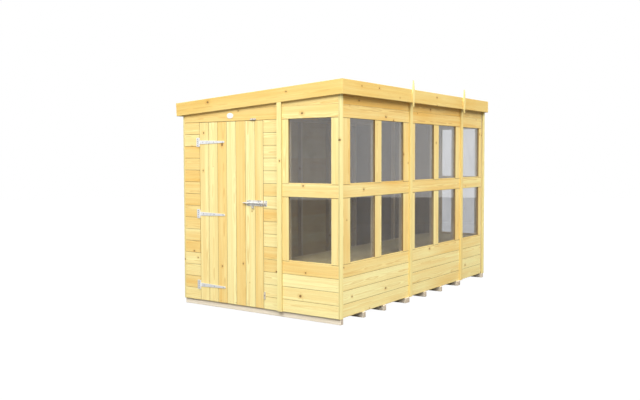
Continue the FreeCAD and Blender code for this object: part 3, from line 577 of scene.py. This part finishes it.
def endKnots(face, *knots):
    # knots given by x, z and radius on a face of the door end
    return [(x, wallFaces[face], z, radius) for x, z, radius in knots]


def sideKnots(face, *knots):
    # knots given by y, z and radius on a face of the glazed side
    return [(wallFaces[face], y, z, radius) for y, z, radius in knots]


leftWall = {"body": "shed", "finish": cladPine, "slot": "clad_pine", "edge": 0.0006,
            "nails": True, "paintedInsideShade": 1.0, "tongued": True,
            "tone": (0.3, 0.6), "knots": (0.1, 0.5), "flame": (0.2, 0.7),
            "setTone": rowTones([0.25, 0.65, 0.25, 0.12, 0.72, 0.42, 0.5, 0.68, 0.62, 0.52, 0.8, 0.6, 0.72,
                                 0.28, 0.45])}
timberPiece("door_panel_left_boards", leftWall)
rightWall = dict(leftWall, seed="b",
                 setTone=rowTones([0.2, 0.22, 0.14, 0.5, 0.6, 0.2, 0.24, 0.65, 0.22, 0.5, 0.2, 0.14, 0.28,
                                   0.2, 0.3]))
timberPiece("door_panel_right_boards", rightWall)
headWall = dict(leftWall, tone=(0.55, 0.65), setTone=None)
timberPiece("door_panel_head_boards", headWall)

# painted shade: the narrow cut edges of the boards beside the panes are darkened
frontWindow = dict(leftWall, paintedEdgeShade=0.33, tone=(0.24, 0.38), knots=(0.05, 0.35),
                   setTone=panelTones([0.16, 0.2, 0.04, 0.6], 0.32, [0.52, 0.5]),
                   spots=endKnots("doorEnd", (0.538, 1.813, 0.008), (0.572, 0.42, 0.005),
                                  (0.514, 0.208, 0.009), (0.547, 1.18, 0.006)))
timberPiece("front_window_boards", frontWindow)

# the deepest tones, in the top course under the fascia, are partly painted shade
sideNear = dict(frontWindow, tone=(0.36, 0.5), flame=(0.6, 1.1),
                setTone=panelTones([0.24, 0.12, 0.1, 0.5], 0.52, [0.7, 0.95]),
                spots=sideKnots("glazedSide", (-1.228, 1.925, 0.006), (-0.753, 1.804, 0.008),
                                (-0.755, 0.204, 0.008), (-1.343, 0.214, 0.006)))
timberPiece("side_window_near_boards", sideNear)
sideMiddle = dict(sideNear, setTone=panelTones([0.34, 0.32, 0.2, 0.34], 0.58, [0.75, 0.9]),
                  spots=sideKnots("glazedSide", (0.165, 1.921, 0.008), (0.303, 1.58, 0.006),
                                  (0.159, 0.482, 0.008)))
timberPiece("side_window_middle_boards", sideMiddle)
sideFar = dict(sideNear, setTone=panelTones([0.2, 0.14, 0.16, 0.5], 0.35, [0.6, 0.8]),
               spots=sideKnots("glazedSide", (1.059, 0.203, 0.008)))
timberPiece("side_window_far_boards", sideFar)

otherWalls = dict(leftWall, tone=(0.1, 0.75), setTone=None, paintedInsideShade=0.75)
for node in ("rear_near_boards", "rear_middle_boards", "rear_far_boards"):
    timberPiece(node, otherWalls)
farEnd = dict(otherWalls, paintedInsideShade=1.2)
for node in ("back_window_boards", "back_plain_boards"):
    timberPiece(node, farEnd)
print("wall boards dressed")


# frames, floor, bench, trims and door

wallFrames = {"body": "shed", "finish": framePine, "slot": "frame_pine", "edge": 0.0012,
              "tone": (0.2, 0.7), "knots": (0.1, 0.5), "flame": (0.2, 0.6)}
for node in ("door_panel_frame", "front_window_frame", "back_window_frame", "back_plain_frame",
             "side_window_near_frame", "side_window_middle_frame", "side_window_far_frame",
             "rear_near_frame", "rear_middle_frame", "rear_far_frame",
             "front_window_beads", "back_window_beads", "side_window_beads",
             "roof_rafters", "bench_rails", "bench_legs"):
    timberPiece(node, wallFrames)

floorDeck = dict(wallFrames, finish=floorPine, slot="floor_pine", edge=0.0006, tongued=True)
for node in ("floor_boards", "roof_boards"):
    timberPiece(node, floorDeck)
benchTop = dict(floorDeck, finish=benchPine)
timberPiece("bench_boards", benchTop)
# the bearers' end faces are darkened: partly darker end grain, partly painted shade
floorBearers = dict(wallFrames, finish=bearerTimber, slot="bearer_timber", edge=0.002, tone=(0.1, 0.6),
                    endGrainAndShade=0.2)
timberPiece("floor_bearers", floorBearers)

# painted shade: the narrow side faces of the cover strips and trims are darkened
coverStrips = {"body": "shed", "finish": trimPine, "slot": "trim_pine", "edge": 0.0015, "paintedEdgeShade": 0.2,
               "tone": (0.02, 0.22), "knots": (0.0, 0.2), "flame": (0.1, 0.4)}
for node in ("front_cover_strip", "back_cover_strip"):
    timberPiece(node, coverStrips)
longWallStrips = dict(coverStrips, paintedEdgeShade=0.06, tone=(0.42, 0.52))
for node in ("side_cover_strips", "rear_cover_strips"):
    timberPiece(node, longWallStrips)
cornerTrims = dict(coverStrips, paintedEdgeShade=0.15, knots=(0.15, 0.4),
                   spots=endKnots("doorEnd", (0.919, 1.575, 0.006)))
for node in ("side_corner_trims", "rear_corner_trims"):
    timberPiece(node, cornerTrims)
roofTrims = dict(coverStrips, tone=(0.7, 0.82), knots=(0.04, 0.16), flame=(0.5, 0.9), edge=0.002,
                 spots=[*endKnots("frontFascia", (-0.559, 1.956, 0.009), (0.378, 2.007, 0.005)),
                        *sideKnots("sideFascia", (-1.265, 2.047, 0.005), (-0.967, 2.049, 0.006),
                                   (0.206, 2.044, 0.007))])
for node in ("front_fascia", "back_fascia", "side_fascia", "rear_fascia"):
    timberPiece(node, roofTrims)
finials = dict(longWallStrips, tone=(0.35, 0.45), edge=0.0008)
timberPiece("fascia_finials", finials)

doorLeaf = dict(leftWall, body="door", paintedInsideShade=0.0, setTone=doorTones([0.3, 0.26, 0.66, 0.08, 0.6, 0.12, 0.46]),
                spots=endKnots("doorEnd", (-0.397, 1.552, 0.01), (-0.142, 0.446, 0.006)))
timberPiece("door_boards", doorLeaf)
doorBacking = dict(wallFrames, body="door", finish=trimPine)
for node in ("door_ledges", "door_braces"):
    timberPiece(node, doorBacking)
print("frames, floor, trims and door dressed")


# zinc, for the nails and the ironmongery

zincGrain = {"flakes": 190, "haze": (60, 60, 60), "scuff": (900, 900, 40), "flakeShare": (0.0, 1.0, 0.0, 0.8),
             "tarnishAndShade": (0.42, 0.7), "flakeRough": (0.0, 1.0, 0.0, 0.12), "hazeRough": (0.4, 0.8, 0.0, 0.14),
             "bump": 0.08, "bumpDepth": 0.0003}


def makeZincGroup():
    tree, given, out = newGroup("zinc spangle",
                                [("Place", "Vector"), ("Bright", "Color"), ("Dull", "Color"),
                                 ("Tarnish And Shade", "Color"), ("Tarnish And Shade Share", "Float"), ("Shine", "Float")],
                                [("Colour", "Color"), ("Roughness", "Float"), ("Height", "Float")])
    place = given["Place"]
    spangle = tree.nodes.new("ShaderNodeTexVoronoi")
    spangle.inputs["Scale"].default_value = zincGrain["flakes"]
    tree.links.new(place, spangle.inputs["Vector"])
    flake = splitUp(tree, spangle.outputs["Color"])[0]
    haze = noiseOn(tree, stretched(tree, place, zincGrain["haze"]), detail=3)
    scuff = noiseOn(tree, stretched(tree, place, zincGrain["scuff"]))
    colour = blendColour(tree, fade(tree, flake, *zincGrain["flakeShare"]), given["Bright"], given["Dull"])
    # hazy patches of tarnish, and on the bolt also painted shade
    tarnishAndShade = maths(tree, "MULTIPLY", fade(tree, haze, *zincGrain["tarnishAndShade"]), given["Tarnish And Shade Share"])
    tree.links.new(blendColour(tree, tarnishAndShade, colour, given["Tarnish And Shade"]), out["Colour"])
    rough = maths(tree, "ADD", given["Shine"], fade(tree, flake, *zincGrain["flakeRough"]))
    rough = maths(tree, "ADD", rough, fade(tree, haze, *zincGrain["hazeRough"]))
    tree.links.new(rough, out["Roughness"])
    tree.links.new(scuff, out["Height"])
    return tree


zincGroup = makeZincGroup()


def zincMaterial(look):
    material, tree, shader = newMaterial(look["name"])
    zinc = placeGroup(tree, zincGroup, Place=objectPlace(tree))
    setLook(tree, zinc, look)
    colourInto(tree, shader, zinc.outputs["Colour"], zinc.outputs["Roughness"])
    shader.inputs["Metallic"].default_value = look["metal"]
    bumpInto(tree, shader, zinc.outputs["Height"], zincGrain["bump"], zincGrain["bumpDepth"])
    return material


hingeLook = {"name": "galvanised steel", "metal": 0.3, "Shine": 0.28,
             "Bright": "f3f3f3", "Dull": "e2e3e3", "Tarnish And Shade": "c2c4c4", "Tarnish And Shade Share": 0.4}
# the bolt's dark patches are partly tarnish and partly painted shade
boltLook = {"name": "bright zinc", "metal": 0.22, "Shine": 0.18,
            "Bright": "f6f4ef", "Dull": "dedbd3", "Tarnish And Shade": "57534d", "Tarnish And Shade Share": 0.6}
buttonLook = {"name": "dull zinc", "metal": 0.2, "Shine": 0.4,
              "Bright": "ded5c8", "Dull": "c8bfb2", "Tarnish And Shade": "958d82", "Tarnish And Shade Share": 0.5}
screwLook = {"name": "dark zinc", "metal": 0.5, "Shine": 0.35,
             "Bright": "77787a", "Dull": "5c5d5e", "Tarnish And Shade": "3d3d3c", "Tarnish And Shade Share": 0.5}
galvanised = zincMaterial(hingeLook)
brightZinc = zincMaterial(boltLook)
dullZinc = zincMaterial(buttonLook)
darkZinc = zincMaterial(screwLook)


# nails that hold the boards

def makeNails(body):
    nails = bmesh.new()
    for spot, outward in nailSpots[body]:
        turn = Vector((0, 0, 1)).rotation_difference(outward).to_matrix().to_4x4()
        addHead(nails, boardNails, Matrix.Translation(spot) @ turn)
    addPiece(body + "_board_nails", nails, body, darkZinc)


for body in nailSpots:
    makeNails(body)
print("nails:", {body: len(spots) for body, spots in nailSpots.items()})


# ironmongery

ironmongery = {"edge": 0.0004, "sharpAngle": math.radians(40), "smoothAngle": math.radians(32),
               "nodes": {"hinge_straps": ("door", galvanised), "hinge_flaps": ("shed", galvanised),
                         "hinge_pins": ("shed", darkZinc), "bolt_plate": ("door", brightZinc),
                         "bolt_bar": ("bolt", brightZinc), "bolt_keep": ("shed", brightZinc),
                         "turn_button_top": ("turn_button_top", dullZinc),
                         "turn_button_side": ("turn_button_side", dullZinc),
                         "door_screws": ("door", darkZinc), "frame_screws": ("shed", darkZinc)}}


def steelPiece(node, body, finish):
    solids = solidsOf(node)
    for solid in solids:
        sharp = [edge for edge in solid.edges
                 if len(edge.link_faces) == 2 and edge.calc_face_angle(0) > ironmongery["sharpAngle"]]
        easeOff(solid, sharp, ironmongery["edge"])
        for face in solid.faces:
            face.smooth = True
        for edge in solid.edges:
            edge.smooth = edge.calc_face_angle(0) < ironmongery["smoothAngle"]
    addPiece(node + "_steel", joinUp(solids), body, finish, [node])


for node, (body, finish) in ironmongery["nodes"].items():
    steelPiece(node, body, finish)
print("ironmongery dressed")


# glass

panes = {"edge": 0.0003, "smear": (9, 9, 4), "wave": (5, 5, 2), "roughness": (0.5, 0.85, 0.0, 0.05),
         "smearShare": (0.4, 0.8), "clear": paint("e6e7e9"), "smeared": paint("dddee0"),
         "refraction": 1.8, "lightThrough": 0.52, "bump": 0.03, "bumpDepth": 0.0004,
         "nodes": ["front_window_panes", "back_window_panes", "side_window_near_panes",
                   "side_window_middle_panes", "side_window_far_panes"]}


def makeGlass():
    material, tree, shader = newMaterial("pane glass")
    place = objectPlace(tree)
    smear = noiseOn(tree, stretched(tree, place, panes["smear"]), detail=4, roughness=0.6)
    wave = noiseOn(tree, stretched(tree, place, panes["wave"]), detail=1)
    colour = blendColour(tree, fade(tree, smear, *panes["smearShare"]), panes["clear"], panes["smeared"])
    colourInto(tree, shader, colour, fade(tree, smear, *panes["roughness"]))
    shader.inputs["Transmission Weight"].default_value = 1.0
    shader.inputs["IOR"].default_value = panes["refraction"]
    light = tree.nodes.new("ShaderNodeLightPath")
    letThrough = maths(tree, "MULTIPLY", light.outputs["Is Shadow Ray"], panes["lightThrough"])
    tree.links.new(maths(tree, "SUBTRACT", 1.0, letThrough), shader.inputs["Alpha"])
    bumpInto(tree, shader, wave, panes["bump"], panes["bumpDepth"])
    return material


paneGlass = makeGlass()
for node in panes["nodes"]:
    sheets = solidsOf(node)
    for sheet in sheets:
        easeOff(sheet, list(sheet.edges), panes["edge"])
    addPiece(node + "_glass", joinUp(sheets), "shed", paneGlass, [node])
print("panes glazed")


# roofing felt

roofFelt = {"edge": 0.0008, "grit": 650, "patch": (3, 3, 3),
            "dark": paint("3f4643"), "light": paint("77807b"),
            "fleck": paint("a5aaa3"), "fleckShare": (0.86, 0.95), "worn": paint("6a706b"),
            "wornShare": (0.35, 0.75, 0.0, 0.25), "roughness": (0.0, 1.0, 0.82, 0.98),
            "bump": 0.6, "bumpDepth": 0.0006}


def makeFelt():
    material, tree, shader = newMaterial("mineral felt")
    place = objectPlace(tree)
    grit = tree.nodes.new("ShaderNodeTexVoronoi")
    grit.inputs["Scale"].default_value = roofFelt["grit"]
    tree.links.new(place, grit.inputs["Vector"])
    grain, second = splitUp(tree, grit.outputs["Color"])[:2]
    patch = noiseOn(tree, stretched(tree, place, roofFelt["patch"]), detail=4)
    colour = blendColour(tree, grain, roofFelt["dark"], roofFelt["light"])
    colour = blendColour(tree, fade(tree, second, *roofFelt["fleckShare"]), colour, roofFelt["fleck"])
    worn = fade(tree, patch, *roofFelt["wornShare"])
    colour = blendColour(tree, worn, colour, roofFelt["worn"], "MULTIPLY")
    colourInto(tree, shader, colour, fade(tree, grain, *roofFelt["roughness"]))
    bumpInto(tree, shader, grit.outputs["Distance"], roofFelt["bump"], roofFelt["bumpDepth"])
    return material


mineralFelt = makeFelt()
sheets = solidsOf("roof_felt")
for sheet in sheets:
    easeOff(sheet, list(sheet.edges), roofFelt["edge"], segments=2)
addPiece("roof_felt_sheet", joinUp(sheets), "shed", mineralFelt, ["roof_felt"])
print("roof felted")


# the bare plaque over the door

plaque = {"edge": 0.0009, "rimAngle": math.radians(50), "flatFace": 0.99,
          "cloud": (70, 70, 70), "speck": (900, 900, 900), "white": paint("f6f5f2"), "cream": paint("e9e6df"),
          "creamShare": (0.4, 0.8), "roughness": (0.3, 0.8, 0.18, 0.36), "coat": 0.4,
          "bump": 0.05, "bumpDepth": 0.0002}


def makeEnamel():
    material, tree, shader = newMaterial("plaque white")
    place = objectPlace(tree)
    cloud = noiseOn(tree, stretched(tree, place, plaque["cloud"]), detail=3)
    speck = noiseOn(tree, stretched(tree, place, plaque["speck"]))
    colour = blendColour(tree, fade(tree, cloud, *plaque["creamShare"]), plaque["white"], plaque["cream"])
    colourInto(tree, shader, colour, fade(tree, cloud, *plaque["roughness"]))
    shader.inputs["Coat Weight"].default_value = plaque["coat"]
    bumpInto(tree, shader, speck, plaque["bump"], plaque["bumpDepth"])
    return material


plaqueWhite = makeEnamel()
solids = solidsOf("plaque")
for solid in solids:
    rims = [edge for edge in solid.edges if edge.calc_face_angle(0) > plaque["rimAngle"]]
    easeOff(solid, rims, plaque["edge"], segments=2)
    for face in solid.faces:
        face.smooth = abs(face.normal.y) < plaque["flatFace"]
addPiece("plaque_enamel", joinUp(solids), "shed", plaqueWhite, ["plaque"])
plaquePins = {"gap": 0.025, "radius": 0.0022, "taper": 0.6, "proud": 0.0008, "sides": 16}
low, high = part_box("plaque")
pins = bmesh.new()
for side in (-1, 1):
    at = Vector(((low.x + high.x) / 2 + side * plaquePins["gap"], low.y, (low.z + high.z) / 2))
    addHead(pins, plaquePins, Matrix.Translation(at) @ Matrix.Rotation(math.pi / 2, 4, "X"))
addPiece("plaque_pins", pins, "shed", galvanised)
print("plaque fixed")


# floor, light and camera

studio = {"floor": 20.0, "floorSides": 96, "floorDrop": 0.001,
          "floorColour": paint("7b7b7a"), "floorRoughness": 0.9,
          "shadowShare": 0.09, "shadowReach": (3.0, 9.0),
          "glow": 1.09, "mirrored": 0.05, "throughGlass": 0.94,
          "world": 0.24, "aim": (0, 0, 1.0),
          "lamps": {"key light": {"at": (0.5, -10.5, 14.0), "size": 10.0, "power": 3150.0},
                    "fill light": {"at": (11.5, -4.5, 12.5), "size": 14.0, "power": 3300.0},
                    "rear light": {"at": (-9.0, 9.0, 12.0), "size": 8.0, "power": 1400.0}}}


def seesBack(tree):
    # rays that look at the background: all of them, those by way of a mirror, and those through glass
    light = tree.nodes.new("ShaderNodeLightPath")
    through = light.outputs["Is Transmission Ray"]
    seen = maths(tree, "MAXIMUM", light.outputs["Is Camera Ray"], light.outputs["Is Glossy Ray"])
    mirrored = maths(tree, "SUBTRACT", light.outputs["Is Glossy Ray"], through, clamp=True)
    return maths(tree, "MAXIMUM", seen, through), mirrored, through


def makeFloor():
    # a grey floor that is seen as white, a little darker near the shed
    material, tree, shader = newMaterial("studio floor")
    shader.inputs["Base Color"].default_value = studio["floorColour"]
    shader.inputs["Roughness"].default_value = studio["floorRoughness"]
    shader.inputs["Specular IOR Level"].default_value = 0.0
    seen, mirrored, through = seesBack(tree)
    away = tree.nodes.new("ShaderNodeVectorMath")
    away.operation = "LENGTH"
    tree.links.new(objectPlace(tree), away.inputs[0])
    white = fade(tree, away.outputs["Value"], *studio["shadowReach"], 1.0 - studio["shadowShare"], 1.0)
    glow = tree.nodes.new("ShaderNodeEmission")
    dimmer = maths(tree, "MULTIPLY", mirrored, studio["glow"] - studio["mirrored"])
    dimmer = plusShare(tree, dimmer, through, studio["glow"] - studio["throughGlass"])
    tree.links.new(maths(tree, "SUBTRACT", studio["glow"], dimmer), glow.inputs["Strength"])
    mix = tree.nodes.new("ShaderNodeMixShader")
    tree.links.new(maths(tree, "MULTIPLY", seen, white), mix.inputs[0])
    tree.links.new(shader.outputs[0], mix.inputs[1])
    tree.links.new(glow.outputs[0], mix.inputs[2])
    tree.links.new(mix.outputs[0], tree.nodes["Material Output"].inputs["Surface"])
    disc = bmesh.new()
    bmesh.ops.create_circle(disc, cap_ends=True, segments=studio["floorSides"], radius=studio["floor"],
                            matrix=Matrix.Translation((0, 0, -studio["floorDrop"])))
    floor = newObject("studio_floor", disc, material)


def makeWorld():
    world = bpy.data.worlds.new("studio")
    world.use_nodes = True
    bpy.context.scene.world = world
    tree = world.node_tree
    back = tree.nodes["Background"]
    back.inputs["Color"].default_value = (1, 1, 1, 1)
    tree.links.new(maths(tree, "MAXIMUM", seesBack(tree)[0], studio["world"]), back.inputs["Strength"])


def softLamp(name, lamp):
    light = bpy.data.lights.new(name, "AREA")
    light.shape = "DISK"
    light.size = lamp["size"]
    light.energy = lamp["power"]
    holder = bpy.data.objects.new(name, light)
    holder.location = lamp["at"]
    holder.rotation_euler = (Vector(studio["aim"]) - Vector(lamp["at"])).to_track_quat("-Z", "Y").to_euler()
    bpy.context.scene.collection.objects.link(holder)


makeFloor()
makeWorld()
for name, lamp in studio["lamps"].items():
    softLamp(name, lamp)

viewpoint = {"at": (4.35691, -6.75932, 1.41859), "yaw": -34.419, "pitch": -2.480, "roll": -0.110,
             "sensor": 36, "lens": 41.62, "shift": (-0.00978, -0.01464)}
yaw, pitch, roll = (math.radians(viewpoint[turn]) for turn in ("yaw", "pitch", "roll"))
ahead = Vector((math.sin(yaw) * math.cos(pitch), math.cos(yaw) * math.cos(pitch), math.sin(pitch)))
right = Vector((math.cos(yaw), -math.sin(yaw), 0))
upright = right.cross(ahead)
across = right * math.cos(roll) + upright * math.sin(roll)
above = upright * math.cos(roll) - right * math.sin(roll)
camera = bpy.data.objects.new("camera", bpy.data.cameras.new("camera"))
turned = Matrix((across, above, -ahead)).transposed().to_4x4()
camera.matrix_world = Matrix.Translation(viewpoint["at"]) @ turned
camera.data.sensor_width = viewpoint["sensor"]
camera.data.lens = viewpoint["lens"]
camera.data.shift_x, camera.data.shift_y = viewpoint["shift"]
bpy.context.scene.collection.objects.link(camera)
bpy.context.scene.camera = camera
bpy.context.scene.view_settings.view_transform = "Standard"
print("studio and camera set")
